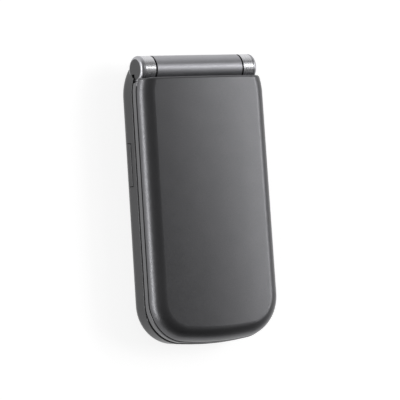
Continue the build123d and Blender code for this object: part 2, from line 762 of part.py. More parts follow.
def base_rear_housing():
    """Inner frame of the base: battery bay and compartment for the parts behind the hinge end."""
    frame = slab(wall + slip_gap, chassis_end_y, chassis_z, chassis_top_z)
    half = battery_width / 2 + bay_gap
    frame -= block(-half, half, bottom_y + battery_up - bay_gap, battery_end_y + bay_gap,
                   0, bay_top_z)
    half = contact_width / 2 + slip_gap
    frame -= block(-half, half, battery_end_y, battery_end_y + cover_rim + contact_depth,
                   0, base_height)
    frame -= block(-compartment_half_width, compartment_half_width, compartment_y,
                   compartment_end_y, 0, base_height)
    half = usb_width / 2 + part_gap
    frame -= block(-half, half, bottom_y, bottom_y + usb_recess + usb_depth + part_gap,
                   0, base_height)
    width, length = antenna_size
    half = width / 2 + part_gap
    frame -= block(antenna_x - half, antenna_x + half, bottom_y,
                   bottom_y + antenna_up + length / 2 + slip_gap, antenna_low_z - slip_gap,
                   base_height)
    frame -= switch_space(part_gap - switch_strip_x + part_gap)
    for x, y in screw_places:
        frame -= post(screw_radius + cover_gap, x, y, 0, base_height)
        frame -= post(screw_head_radius + slip_gap, x, y, 0, chassis_z + 2 * screw_head_height)
    return frame


def volume_rocker():
    """Rocker in the left side wall, held by a flange inside and pivoted on a round rib."""
    outer_x = half_width_at(rocker_y) + rocker_proud
    face = rocker_room(0, -outer_x, fit_gap - rocker_flange_x)
    face = fillet(face.edges().group_by(Axis.X)[0], rocker_edge)
    half = rocker_length / 2 + rocker_overlap
    low_z = rocker_low_z - rocker_overlap / 2
    top_z = rocker_low_z + rocker_height + rocker_overlap / 2
    flange = block(-rocker_flange_x, -rocker_inner_x, rocker_y - half, rocker_y + half, low_z, top_z)
    return face + flange + post(rocker_pivot_radius, -rocker_inner_x, rocker_y, low_z, top_z)


def side_switches():
    """Two small switches on a strip behind the volume rocker."""
    low_z = rocker_low_z - part_gap
    top_z = board_z - cover_gap
    half = rocker_length / 2
    strips = block(-switch_strip_x, part_gap - switch_strip_x, rocker_y - half, rocker_y + half,
                   low_z, top_z)
    for y in (rocker_y - switch_offset, rocker_y + switch_offset):
        strips += block(-switch_x, fit_gap - switch_strip_x, y - switch_width / 2,
                        y + switch_width / 2, low_z, top_z)
    return strips


def screw_holes(clearance):
    """Clear holes round the base's screw bosses."""
    return [post(boss_radius + clearance, x, y, 0, base_height) for x, y in screw_places]


def main_board():
    """Main circuit board under the keys."""
    board = slab(board_inset, chassis_end_y, board_z, board_top_z)
    return board - switch_space(part_gap - switch_strip_x + slip_gap) - screw_holes(slip_gap)


def dome_places():
    """Middle of each switch dome under the keys."""
    places = [(x, y) for _, _, x, y in plain_keys.values()]
    reach = (ok_radius + pad_width / 2) / 2
    places += [(0, pad_y), (reach, pad_y), (-reach, pad_y), (0, pad_y + reach), (0, pad_y - reach)]
    return places


def thin_sheet(z0, z1):
    """Sheet over the main board, under all the keys."""
    sheet = slab(board_inset + mat_margin, mat_end_y, z0, z1)
    sheet -= post(microphone_room, 0, microphone_y, 0, base_height)
    return sheet - screw_holes(part_gap)


def dome_sheet():
    """Film with the metal switch domes."""
    top_z = board_top_z + dome_sheet_thickness
    sheet = thin_sheet(board_top_z, top_z)
    for x, y in dome_places():
        sheet += post(dome_radius, x, y, board_top_z, top_z + dome_height)
    return sheet


def key_mat():
    """Rubber mat between the keys and the domes."""
    return thin_sheet(mat_z, mat_z + key_mat_thickness)


def board_components():
    """Microphone, flex connector and lid sensor on the main board, and the radio chip below."""
    return Compound(children=[
        chip(connector_size, flex_x, earpiece_y, board_top_z),
        chip(sensor_size, magnet_x, magnet_y, board_top_z),
        chip(radio_chip, can_x, sim_y, board_z - radio_chip[2]),
        chip(microphone_size, 0, microphone_y, board_top_z),
    ])


def shield_can():
    """Metal can over the radio chips, under the main board."""
    can = pad(can_width, sim_length, can_x, sim_y, board_z - can_height, board_z - mat_gap,
              soft_edge)
    return can - pad(can_width - 2 * can_sheet, sim_length - 2 * can_sheet, can_x, sim_y,
                     board_z - can_height + can_sheet, base_height, soft_edge - can_sheet / 2)


def sim_holder():
    """Sheet-metal SIM holder under the main board."""
    holder = pad(sim_width, sim_length, sim_x, sim_y, board_z - sim_height, board_z - mat_gap,
                 soft_edge)
    half = sim_width / 2 - sim_sheet
    slot = block(sim_x - half, sim_x + half, sim_y - sim_length,
                 sim_y + sim_length / 2 - sim_sheet, board_z - sim_height + sim_sheet,
                 board_z - sim_sheet)
    window = pad(sim_window, sim_window, sim_x, sim_y, 0, board_z - sim_height / 2,
                 sim_window_corner)
    return holder - slot - window


def usb_port():
    """Charging socket in the bottom end, with its tongue."""
    y0 = bottom_y + usb_recess
    y1 = y0 + usb_depth
    z1 = board_z - fit_gap
    z0 = z1 - usb_height
    half = usb_width / 2
    shell = block(-half, half, y0, y1, z0, z1)
    shell -= block(usb_sheet - half, half - usb_sheet, y0 - 1, y1 - 2 * usb_sheet,
                   z0 + usb_sheet, z1 - usb_sheet)
    middle_z = (z0 + z1) / 2
    return shell + block(-usb_tongue_width / 2, usb_tongue_width / 2, y0 + 2 * usb_sheet,
                         y1 - usb_sheet, middle_z, middle_z + usb_tongue_height)


def antenna():
    """Moulded antenna block at the bottom end."""
    width, length = antenna_size
    return pad(width, length, antenna_x, bottom_y + antenna_up, antenna_low_z,
               board_z - cover_gap, soft_edge)


def battery_contacts():
    """Three sprung contacts at the upper end of the battery bay."""
    y0 = battery_end_y + stack_gap
    y1 = y0 + contact_blade
    low_z = chassis_z + part_gap
    contacts = block(-contact_width / 2, contact_width / 2, y1 - stack_gap, y1 + contact_depth,
                     low_z, board_z - fit_gap)
    for x in (-contact_pitch, 0, contact_pitch):
        contacts += block(x - contact_blade / 2, x + contact_blade / 2, y0, y1,
                          low_z + part_gap, (low_z + board_z) / 2)
    return contacts


def battery():
    """Flat removable battery."""
    return pad(battery_width, battery_length, 0, battery_y, battery_z, bay_top_z - fit_gap,
               battery_corner)


def camera_module():
    """Camera behind its window in the battery cover."""
    body_z = chassis_z + camera_barrel_length
    body = pad(camera_size, camera_size, camera_x, camera_y, body_z, board_z - fit_gap, soft_edge)
    barrel_top_z = (body_z + board_z) / 2
    return body + post(camera_barrel_radius, camera_x, camera_y, chassis_z + fit_gap, barrel_top_z)


def loudspeaker():
    """Loudspeaker behind the slots in the battery cover."""
    return pad(speaker_width, speaker_length, speaker_x, speaker_y, chassis_z + cover_gap,
               board_z - fit_gap, speaker_corner)


def battery_cover():
    """Back cover over the battery, with its thumb grip and its openings."""
    end_y = hinge_y - cover_end_setback
    cover = base_body() & block(-beyond, beyond, -beyond, end_y, -1, cover_parting)
    cover -= slab(cover_side_rim, end_y - cover_rim, cover_wall, cover_parting + 1)
    cover -= post(camera_radius, camera_x, camera_y, -1, cover_parting)
    for row in range(grip_grooves):
        y = end_y - grip_setback - row * grip_pitch
        cover -= pad(grip_width, grip_groove, 0, y, -1, grip_depth, grip_groove / 2 - mat_gap)
    width, height = speaker_slot
    for row in range(speaker_slots):
        y = speaker_y + (row - (speaker_slots - 1) / 2) * speaker_slot_pitch
        cover -= pad(width, height, speaker_x, y, -1, cover_parting, height / 2 - mat_gap)
    return cover


def camera_window():
    """Clear window of the camera, set into the battery cover."""
    return post(camera_radius - fit_gap, camera_x, camera_y, window_recess,
                window_recess + window_thickness)


def speaker_mesh():
    """Dust mesh over the loudspeaker slots, inside the battery cover."""
    width = speaker_slot[0] + 2 * speaker_mesh_margin
    length = speaker_slots * speaker_slot_pitch + mesh_margin
    low_z = cover_wall + mat_gap
    return pad(width, length, speaker_x, speaker_y, low_z, low_z + mesh_thickness,
               speaker_mesh_margin)


def base_screws():
    """Four screws from the inner frame up into the deck."""
    head_z = chassis_z + 2 * screw_head_height
    screws = []
    for x, y in screw_places:
        screw = post(screw_head_radius, x, y, head_z - screw_head_height, head_z - mat_gap)
        shank = post(screw_radius - fit_gap, x, y, head_z - cover_gap, under_deck_z - 2 * slip_gap)
        screws.append(screw + shank)
    return Compound(children=screws)


makers = (
    lid_cover, lid_frame, display_lens, display_module, display_tray, lid_board, vibration_motor,
    earpiece, earpiece_mesh, lid_magnet, lid_screws, lid_bumpers,
    hinge_barrel, hinge_housing, hinge_cam, hinge_follower, hinge_spring, hinge_shaft, hinge_bush,
    hinge_flex, ear_bands, ear_caps,
    key_pad, key_ok,
    base_front_housing, base_rear_housing, volume_rocker, side_switches, main_board, dome_sheet,
    key_mat, board_components, shield_can, sim_holder, usb_port, antenna, battery_contacts,
    battery, camera_module, loudspeaker, base_screws,
    battery_cover, camera_window, speaker_mesh,
)
pieces = {maker.__name__: maker() for maker in makers}
pieces.update({name: plain_key(*place) for name, place in plain_keys.items()})

os.makedirs("parts", exist_ok=True)
for name, piece in pieces.items():
    export_step(piece, os.path.join("parts", name + ".step"))
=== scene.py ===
"""Looks of a closed flip phone: its finishes, key legends, window and studio.

The phone lies on its back. +X is its right, +Y points to the hinge and +Z out of the lid.
"""
import math

import bmesh
import bpy
from bpy.props import FloatProperty, FloatVectorProperty, PointerProperty
from mathutils import Matrix, Vector


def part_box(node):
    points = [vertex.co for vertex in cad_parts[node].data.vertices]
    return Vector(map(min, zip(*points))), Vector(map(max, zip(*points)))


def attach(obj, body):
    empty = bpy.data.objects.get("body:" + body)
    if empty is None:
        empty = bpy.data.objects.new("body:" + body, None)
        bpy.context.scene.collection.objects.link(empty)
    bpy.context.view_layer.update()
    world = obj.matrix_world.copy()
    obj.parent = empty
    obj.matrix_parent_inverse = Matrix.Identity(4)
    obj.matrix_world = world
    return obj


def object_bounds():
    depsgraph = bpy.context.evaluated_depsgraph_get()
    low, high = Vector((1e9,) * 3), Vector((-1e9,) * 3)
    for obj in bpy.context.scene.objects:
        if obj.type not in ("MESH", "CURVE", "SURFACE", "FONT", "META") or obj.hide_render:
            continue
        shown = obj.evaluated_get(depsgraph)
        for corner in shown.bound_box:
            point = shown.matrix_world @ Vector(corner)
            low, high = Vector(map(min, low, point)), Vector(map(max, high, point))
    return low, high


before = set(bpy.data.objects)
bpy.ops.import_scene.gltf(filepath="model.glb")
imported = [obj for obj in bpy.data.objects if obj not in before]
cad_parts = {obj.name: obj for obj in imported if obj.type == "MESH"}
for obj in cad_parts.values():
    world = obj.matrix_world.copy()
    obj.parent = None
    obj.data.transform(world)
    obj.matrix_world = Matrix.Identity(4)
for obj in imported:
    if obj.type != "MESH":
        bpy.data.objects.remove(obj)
cad_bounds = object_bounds()

bl_info = {
    "name": "Flip phone",
    "version": (1, 0, 0),
    "blender": (4, 5, 0),
    "location": "View3D > Sidebar > Flip phone",
    "description": "Finishes, key legends, display window and studio of a flip phone",
    "category": "Add Mesh",
}

MM = 0.001
WELD = 0.001 * MM
TEXT_WELD = 0.002 * MM
CAPITAL_SHARE = 0.7  # height of a capital in the font, as a share of the text size
FLAT = 1e6  # scale that takes an axis out of a pattern


# ---- Settings
def length(name, description, millimetres):
    """Property for a length, given in millimetres."""
    return FloatProperty(name=name, description=description, default=millimetres * MM,
                         min=0.0, precision=5, unit="LENGTH")


def angle(name, description, degrees):
    """Property for an angle, given in degrees."""
    return FloatProperty(name=name, description=description, default=math.radians(degrees),
                         subtype="ANGLE")


def number(name, description, value):
    """Property for a plain number."""
    return FloatProperty(name=name, description=description, default=value)


def colour(name, description, value):
    """Property for a colour."""
    return FloatVectorProperty(name=name, description=description, default=value, size=3,
                               min=0.0, max=1.0, subtype="COLOR")


class PhoneColours(bpy.types.PropertyGroup):
    """Colours of the phone's finishes, and of the painted shade in its gaps."""
    shell: colour("Shell paint", "Satin metallic paint of the lid cover", (0.11, 0.11, 0.115))
    # Painted shade: the base colour is the lid cover's paint made darker, for the shade on the
    # base's sides; the caps' discs, the rocker and the battery cover take it too
    base: colour("Base paint", "Darker paint of the base and the caps", (0.07, 0.07, 0.072))
    rim: colour("Rim paint", "Lighter paint of the band round the lid", (0.15, 0.15, 0.155))
    cap_rim: colour("Cap rim", "Bright rim of the end caps", (0.4, 0.4, 0.42))
    barrel: colour("Barrel finish", "Satin finish of the hinge barrel", (0.36, 0.36, 0.38))
    band: colour("Band", "Polished bands at the ends of the hinge", (0.6, 0.6, 0.62))
    # Painted shade: black of the seam strips and of the barrel's and bands' ends, for the shade
    # in the gaps
    gap: colour("Gaps", "Seals, and unpainted edges at a gap", (0.004, 0.004, 0.004))
    key: colour("Keys", "Moulded plastic of the keys", (0.02, 0.02, 0.022))
    ring: colour("Ring key", "Paint of the ring key", (0.32, 0.32, 0.33))
    legend: colour("Legends", "Printed marks on the keys", (0.75, 0.76, 0.78))
    arrow: colour("Arrows", "Printed arrows on the ring key", (0.03, 0.03, 0.032))
    call: colour("Call mark", "Mark on the call key", (0.05, 0.5, 0.1))
    end: colour("End mark", "Mark on the end key", (0.6, 0.03, 0.03))
    window: colour("Window", "Smoked plastic of the display window", (0.012, 0.013, 0.016))
    border: colour("Window border", "Black print round the display", (0.004, 0.004, 0.005))
    panel: colour("Display panel", "Panel that is switched off", (0.035, 0.038, 0.046))
    weave: colour("Dust mesh", "Woven mesh of the earpiece and loudspeaker", (0.02, 0.02, 0.022))


class PhoneSizes(bpy.types.PropertyGroup):
    """Sizes of the printed and small details."""
    print_thickness: length("Print thickness", "Thickness of printed marks", 0.02)
    digit_height: length("Digit height", "Height of the digits on the keys", 3.7)
    letter_height: length("Letter height", "Height of the letters beside the digits", 1.9)
    mark_size: length("Mark size", "Length of the handset marks and dashes", 4.4)
    dash_height: length("Dash height", "Height of the dashes on the soft keys", 0.5)
    arrow_radius: length("Arrow radius", "Middle of an arrow to its corners", 0.9)
    cap_rim: length("Cap rim", "Width of the bright rim of the end caps", 1.2)
    cap_rim_fade: length("Cap rim fade", "Width of the change from the disc to the rim", 0.1)
    # Painted shade: black ends of the barrel that widen the shade in the gaps at the bands
    barrel_end_shade: length("Barrel edge", "Unpainted edge at the ends of the barrel", 0.12)
    # Painted shade: black ends of the bands next to the barrel, for the shade in the gap
    band_end_shade: length("Band edge", "Barrel's end to the bright part of the bands", 0.52)
    window_border: length("Window border", "Edge of the panel to the window's clear part", 1.95)
    border_margin: length("Border margin", "Edge of the window to its border", 0.05)
    border_corner: length("Border corner", "Corner radius of the border", 3.9)
    cover_rise: length("Cover rise", "Lower edge of the lid frame to that of the lid cover", 3.5)
    outline_rise: length("Outline rise", "Cover's lower edge to where its outline is taken", 0.05)
    # Painted shade: sizes of the black strips in the seams, which stand in for the shade in the
    # gaps
    shade_strip_setback: length("Seal setback", "Seals from the painted surface in", 0.08)
    parting_strip_height: length("Seal height", "Height of the seal between the halves", 0.85)
    seam_strip_height: length("Seam seal height", "Height of the seal in the lid's seam", 0.9)
    shade_strip_wall: length("Seal wall", "Thickness of the seals", 0.35)
    shade_strip_end: length("Seal end", "Ends of the seals to the end caps", 0.5)
    ring_radius: length("Camera ring", "Outer radius of the ring round the camera's eye", 3.4)
    ring_top_radius: length("Camera ring top", "Radius where it starts to fall to its hole", 2.0)
    ring_hole_radius: length("Camera ring hole", "Radius of the hole in the ring", 1.3)
    eye_radius: length("Camera eye", "Radius of the camera's eye", 1.25)


class PhoneStudio(bpy.types.PropertyGroup):
    """Camera and lights."""
    distance: length("Camera distance", "Camera to the phone's middle, along the view", 942)
    lens: number("Lens", "Focal length in millimetres", 233.3)
    yaw: angle("Turn", "How far the phone's left side is turned in view", 31.94)
    pitch: angle("Tilt", "Tilt of the view along the phone", -1.29)
    roll: angle("Roll", "Roll of the view", 3.76)
    aim_height: length("Aim height", "Height of the phone's middle in the view", 9.4)
    aim_right: length("Aim right", "Phone's middle to the right of the view's middle", 0.26)
    aim_up: length("Aim up", "Phone's middle above the view's middle", 0.29)
    left_strip: number("Left strip", "Radiance of the low strip light", 7.5)
    right_softbox: number("Right softbox", "Radiance of the right softbox", 5.6)
    back_softbox: number("Back softbox", "Radiance of the back softbox", 5.0)
    walls: number("Room walls", "Strength of the light from low down", 0.85)
    ceiling: number("Ceiling", "Strength of the light from overhead", 0.22)
    front: number("Front wall", "Share of the walls' light at the front", 0.25)
    floor_glow: number("Floor glow", "Brightness of the floor in view and in reflections", 0.82)
    floor_reach: length("Floor reach", "Middle of the floor to its edge", 2000)
    floor_gap: length("Floor gap", "Phone's back to the floor", 0.05)


# ---- Materials
class Nodes:
    """Node tree, with short ways to add nodes to it."""

    def __init__(self, tree):
        self.tree = tree

    def node(self, kind, **settings):
        """New node with its settings and input values."""
        made = self.tree.nodes.new(kind)
        for key, value in settings.items():
            if key in made.inputs:
                made.inputs[key].default_value = value
            else:
                setattr(made, key, value)
        return made

    def link(self, output, target):
        """Link an output to a socket."""
        self.tree.links.new(output, target)

    def axes(self, vector):
        """X, Y and Z of a vector."""
        parts = self.node("ShaderNodeSeparateXYZ")
        self.link(vector, parts.inputs[0])
        return parts.outputs

    def ranged(self, value, low, high, start=0.3, stop=0.7, **settings):
        """Value mapped from start..stop to low..high."""
        made = self.node("ShaderNodeMapRange", **settings)
        for socket, limit in (("From Min", start), ("From Max", stop), ("To Min", low),
                              ("To Max", high)):
            made.inputs[socket].default_value = limit
        self.link(value, made.inputs["Value"])
        return made.outputs["Result"]

    def combine(self, operation, first, second=None):
        """Math on an output and, where it takes two values, an output or number."""
        made = self.node("ShaderNodeMath", operation=operation)
        self.link(first, made.inputs[0])
        if isinstance(second, (int, float)):
            made.inputs[1].default_value = second
        elif second is not None:
            self.link(second, made.inputs[1])
        return made.outputs["Value"]


class Shader(Nodes):
    """Node material with one Principled shader and the pattern nodes that feed it."""

    def __init__(self, name, base, metallic=0.0, roughness=0.5, **sockets):
        self.material = bpy.data.materials.new(name)
        self.material.use_nodes = True
        super().__init__(self.material.node_tree)
        self.shader = self.tree.nodes["Principled BSDF"]
        self.base = (*base, 1.0)
        self.roughness = roughness
        self.shader.inputs["Base Color"].default_value = self.base
        self.shader.inputs["Metallic"].default_value = metallic
        self.shader.inputs["Roughness"].default_value = roughness
        for socket, value in sockets.items():
            self.shader.inputs[socket.replace("_", " ")].default_value = value
        self.place = self.node("ShaderNodeTexCoord").outputs["Object"]

    def mapped(self, **settings):
        """Object coordinates, moved or scaled."""
        mapping = self.node("ShaderNodeMapping", **settings)
        self.link(self.place, mapping.inputs["Vector"])
        return mapping.outputs["Vector"]

    def noise(self, size, detail=2.0, vector=None):
        """Noise with features of about the given size in metres."""
        made = self.node("ShaderNodeTexNoise", Scale=1 / size, Detail=detail)
        self.link(vector or self.place, made.inputs["Vector"])
        return made.outputs["Fac"]

    def cells(self, size, feature):
        """Distances in a pattern of cells of about the given size in metres."""
        made = self.node("ShaderNodeTexVoronoi", feature=feature, Scale=1 / size)
        self.link(self.place, made.inputs["Vector"])
        return made.outputs["Distance"]

    def lines(self, pitch, width, axis):
        """Lines of the given width across one axis, one at each pitch."""
        steps_along = self.combine("DIVIDE", self.axes(self.place)[axis], pitch)
        part = self.combine("FRACT", steps_along)
        return self.combine("LESS_THAN", part, width / pitch)

    def lattice(self, operation, pitch, width):
        """Lines across X and across Y, put together by an operation."""
        return self.combine(operation, self.lines(pitch, width, 0), self.lines(pitch, width, 1))

    def feed_colour(self, target):
        """Give a node's input the colour in use, which is a pattern or one value."""
        socket = self.shader.inputs["Base Color"]
        if socket.is_linked:
            self.link(socket.links[0].from_socket, target)
        else:
            target.default_value = self.base[:len(target.default_value)]

    def shade(self, factor):
        """Multiply the colour in use by a varying factor."""
        mix = self.node("ShaderNodeVectorMath", operation="SCALE")
        self.feed_colour(mix.inputs[0])
        self.link(factor, mix.inputs["Scale"])
        self.link(mix.outputs["Vector"], self.shader.inputs["Base Color"])

    def blend(self, factor, other):
        """Mix the colour in use with another one by a varying factor."""
        mix = self.node("ShaderNodeMix", data_type="RGBA")
        self.feed_colour(mix.inputs[6])
        mix.inputs[7].default_value = (*other, 1.0)
        self.link(factor, mix.inputs["Factor"])
        self.link(mix.outputs[2], self.shader.inputs["Base Color"])

    def rough(self, value, spread):
        """Let the roughness vary by a pattern, spread to both sides."""
        low, high = self.roughness - spread, self.roughness + spread
        self.link(self.ranged(value, low, high), self.shader.inputs["Roughness"])

    def bump(self, value, depth):
        """Add relief of the given depth in metres."""
        made = self.node("ShaderNodeBump", Strength=1.0, Distance=depth)
        self.link(value, made.inputs["Height"])
        socket = self.shader.inputs["Normal"]
        if socket.is_linked:
            self.link(socket.links[0].from_socket, made.inputs["Normal"])
        self.link(made.outputs["Normal"], socket)


def dress(shader, *names):
    """Give CAD nodes a shader's material."""
    for name in names:
        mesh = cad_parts[name].data
        mesh.materials.clear()
        mesh.materials.append(shader.material)


def metallic_paint(name, base, roughness=0.34):
    """Satin paint with fine metal flakes and a slight orange peel."""
    paint = Shader(name, base, metallic=0.92, roughness=roughness)
    flakes = paint.noise(0.16 * MM, detail=1.0)
    paint.shade(paint.ranged(flakes, low=0.9, high=1.12))
    clouds = paint.noise(9 * MM, detail=3.0)
    paint.shade(paint.ranged(clouds, low=0.97, high=1.03))
    paint.rough(paint.noise(0.9 * MM), spread=0.03)
    peel = paint.noise(0.8 * MM, detail=1.0)
    paint.bump(peel, depth=0.0012 * MM)
    return paint


def moulded_plastic(name, base, roughness=0.45, grain=0.25, **sockets):
    """Moulded plastic with a fine spark-eroded grain, its size given in millimetres."""
    plastic = Shader(name, base, roughness=roughness, **sockets)
    pores = plastic.noise(grain * MM)
    clouds = plastic.noise(6 * MM)
    plastic.shade(plastic.ranged(clouds, low=0.93, high=1.07))
    plastic.rough(pores, spread=0.06)
    plastic.bump(pores, depth=0.004 * MM)
    return plastic


def bare_metal(name, base, roughness, stretch=(1.0, 0.05, 1.0)):
    """Metal with fine drawn lines along the axis of least stretch and a few stains."""
    metal = Shader(name, base, metallic=1.0, roughness=roughness)
    drawn = metal.noise(0.1 * MM, detail=3.0, vector=metal.mapped(Scale=stretch))
    metal.rough(drawn, spread=0.07)
    stains = metal.noise(2.5 * MM, detail=3.0)
    metal.shade(metal.ranged(stains, low=0.88, high=1.08))
    metal.bump(drawn, depth=0.001 * MM)
    return metal


def circuit_board(name, base):
    """Green solder mask with copper tracks under it and tinned pads."""
    board = Shader(name, base, roughness=0.3, Coat_Weight=0.4, Coat_Roughness=0.15)
    track_share, track_tint, pad_share = 0.06, 0.55, 0.16
    track_colour, pad_colour = (0.10, 0.34, 0.15), (0.62, 0.55, 0.38)
    copper = board.combine("LESS_THAN", board.cells(1.6 * MM, "DISTANCE_TO_EDGE"), track_share)
    board.blend(board.combine("MULTIPLY", copper, track_tint), track_colour)
    pads = board.combine("LESS_THAN", board.cells(2.2 * MM, "F1"), pad_share)
    board.blend(pads, pad_colour)
    board.bump(copper, depth=0.01 * MM)
    board.rough(board.noise(0.5 * MM), spread=0.05)
    return board


# ---- Building helpers
def corners(box):
    """Lowest and highest corner of a box."""
    return [Vector(corner) for corner in box]


def in_scene(name, data):
    """New object in the scene."""
    made = bpy.data.objects.new(name, data)
    bpy.context.collection.objects.link(made)
    return made


def finished(name, mesh, shader, body, clean=True):
    """Turn a bmesh into a piece that rides on a body and takes a material slot."""
    if clean:
        bmesh.ops.remove_doubles(mesh, verts=mesh.verts, dist=WELD)
        bmesh.ops.recalc_face_normals(mesh, faces=mesh.faces)
    data = bpy.data.meshes.new(name)
    mesh.to_mesh(data)
    mesh.free()
    data.materials.append(shader.material)
    made = in_scene(name, data)
    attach(made, body)
    return made


def add_part(mesh, part):
    """Add a part to a bmesh and free the part."""
    data = bpy.data.meshes.new("part")
    part.to_mesh(data)
    part.free()
    mesh.from_mesh(data)
    bpy.data.meshes.remove(data)


def middle_top(name):
    """Middle of a node's top face, and half its width."""
    low, high = corners(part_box(name))
    middle = (low + high) / 2
    return Vector((middle.x, middle.y, high.z)), (high.x - low.x) / 2


def moved(mesh, verts, place, turn=0.0):
    """Turn vertices about Z and move them to their place."""
    bmesh.ops.rotate(mesh, verts=verts, cent=(0, 0, 0), matrix=Matrix.Rotation(turn, 3, "Z"))
    bmesh.ops.translate(mesh, verts=verts, vec=place)


def lift(mesh, grown, height):
    """Lift the vertices of what was just extruded."""
    tops = [item for item in grown if isinstance(item, bmesh.types.BMVert)]
    bmesh.ops.translate(mesh, verts=tops, vec=(0, 0, height))


def drop(mesh, verts):
    """Delete vertices and what hangs on them."""
    bmesh.ops.delete(mesh, geom=verts, context="VERTS")


def closed_line(mesh, points):
    """Closed line through points, as its vertices and edges."""
    verts = [mesh.verts.new(point) for point in points]
    return verts + [mesh.edges.new(pair) for pair in zip(verts, verts[1:] + verts[:1])]


def plate(width, height, thickness, corner, segments):
    """Flat plate with rounded corners, its middle at the origin."""
    mesh = bmesh.new()
    made = bmesh.ops.create_cube(mesh, size=1.0)["verts"]
    bmesh.ops.scale(mesh, verts=made, vec=(width, height, thickness))
    uprights = [edge for edge in mesh.edges
                if abs((edge.verts[0].co - edge.verts[1].co).z) > thickness / 2]
    bmesh.ops.bevel(mesh, geom=uprights, offset=corner, segments=segments, profile=0.5,
                    affect="EDGES", material=-1)
    return mesh


def add_text(mesh, words, height, place, thickness):
    """Add raised text, its height measured on its capitals, centred on a place."""
    curve = bpy.data.curves.new("words", "FONT")
    curve.body = words
    curve.size = height / CAPITAL_SHARE
    curve.align_x = "CENTER"
    curve.resolution_u = 4
    holder = bpy.data.objects.new("words", curve)
    data = bpy.data.meshes.new_from_object(holder)
    text = bmesh.new()
    text.from_mesh(data)
    bpy.data.objects.remove(holder)
    bpy.data.curves.remove(curve)
    bpy.data.meshes.remove(data)
    bmesh.ops.remove_doubles(text, verts=text.verts, dist=TEXT_WELD)
    low = min(vert.co.y for vert in text.verts)
    high = max(vert.co.y for vert in text.verts)
    grown = bmesh.ops.extrude_face_region(text, geom=text.faces[:])["geom"]
    lift(text, grown, thickness)
    bmesh.ops.translate(text, verts=text.verts, vec=place - Vector((0, (low + high) / 2, 0)))
    bmesh.ops.recalc_face_normals(text, faces=text.faces)
    add_part(mesh, text)


def add_handset(mesh, size, thickness, place, turn):
    """Add a handset mark: a bow with a pad at each end."""
    pad_width, pad_height, pad_turn = 0.24 * size, 0.3 * size, 0.35
    pad_out, pad_drop = 0.4 * size, 0.06 * size
    bow_out, bow_low, bow_high = 0.43 * size, 0.04 * size, 0.21 * size
    bow_drop, bow_sweep, bow_steps = 0.375 * size, math.radians(96), 14
    handset = bmesh.new()
    for way in (-1, 1):
        pad = bmesh.ops.create_cube(handset, size=1.0)["verts"]
        bmesh.ops.scale(handset, verts=pad, vec=(pad_width, pad_height, thickness))
        moved(handset, pad, (way * pad_out, -pad_drop, thickness / 2), -way * pad_turn)
    section = closed_line(handset, [
        (-bow_out, bow_low, 0), (-bow_out, bow_high, 0),
        (-bow_out, bow_high, thickness), (-bow_out, bow_low, thickness)])
    bmesh.ops.spin(handset, geom=section, cent=(0, -bow_drop, 0), axis=(0, 0, -1),
                   steps=bow_steps, angle=bow_sweep, use_merge=False)
    bmesh.ops.recalc_face_normals(handset, faces=handset.faces)
    moved(handset, handset.verts, place, turn)
    add_part(mesh, handset)


def outline_of(node, height):
    """Outer outline of a node at a height, as a bmesh of loose edges."""
    mesh = bmesh.new()
    mesh.from_mesh(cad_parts[node].data)
    bmesh.ops.remove_doubles(mesh, verts=mesh.verts, dist=WELD)
    cut = bmesh.ops.bisect_plane(mesh, geom=mesh.verts[:] + mesh.edges[:] + mesh.faces[:],
                                 dist=0.0, plane_co=(0, 0, height), plane_no=(0, 0, 1))
    kept = {edge for edge in cut["geom_cut"] if isinstance(edge, bmesh.types.BMEdge)}
    bmesh.ops.delete(mesh, geom=mesh.faces[:], context="FACES_ONLY")
    bmesh.ops.delete(mesh, geom=[edge for edge in mesh.edges if edge not in kept],
                     context="EDGES")
    drop(mesh, [vert for vert in mesh.verts if not vert.link_edges])
    start = min(mesh.verts, key=lambda vert: vert.co.y)
    reached, waiting = {start}, [start]
    while waiting:
        for edge in waiting.pop().link_edges:
            for vert in edge.verts:
                if vert not in reached:
                    reached.add(vert)
                    waiting.append(vert)
    drop(mesh, [vert for vert in mesh.verts if vert not in reached])
    return mesh


def shade_strip(name, node, height, low, high, end_y, shader):
    """Dark strip on the lid along a node's outline, set in from it and open at the hinge; painted
    shade that stands in for the shade in the gap.
    """
    sizes = bpy.context.scene.phone_sizes
    mesh = outline_of(node, height)
    drop(mesh, [vert for vert in mesh.verts if vert.co.y > end_y])
    bmesh.ops.translate(mesh, verts=mesh.verts, vec=(0, 0, low - height))
    grown = bmesh.ops.extrude_edge_only(mesh, edges=mesh.edges[:])["geom"]
    lift(mesh, grown, high - low)
    bmesh.ops.recalc_face_normals(mesh, faces=mesh.faces)
    mesh.normal_update()
    face = max(mesh.faces, key=lambda item: abs(item.calc_center_median().x))
    way = 1 if face.normal.x * face.calc_center_median().x > 0 else -1
    shifts = [(vert, vert.normal * way * sizes.shade_strip_setback) for vert in mesh.verts]
    for vert, shift in shifts:
        vert.co -= shift
    if way < 0:
        bmesh.ops.reverse_faces(mesh, faces=mesh.faces)
    made = finished(name, mesh, shader, "lid", clean=False)
    wall = made.modifiers.new("wall", "SOLIDIFY")
    wall.thickness = sizes.shade_strip_wall
    wall.offset = -1


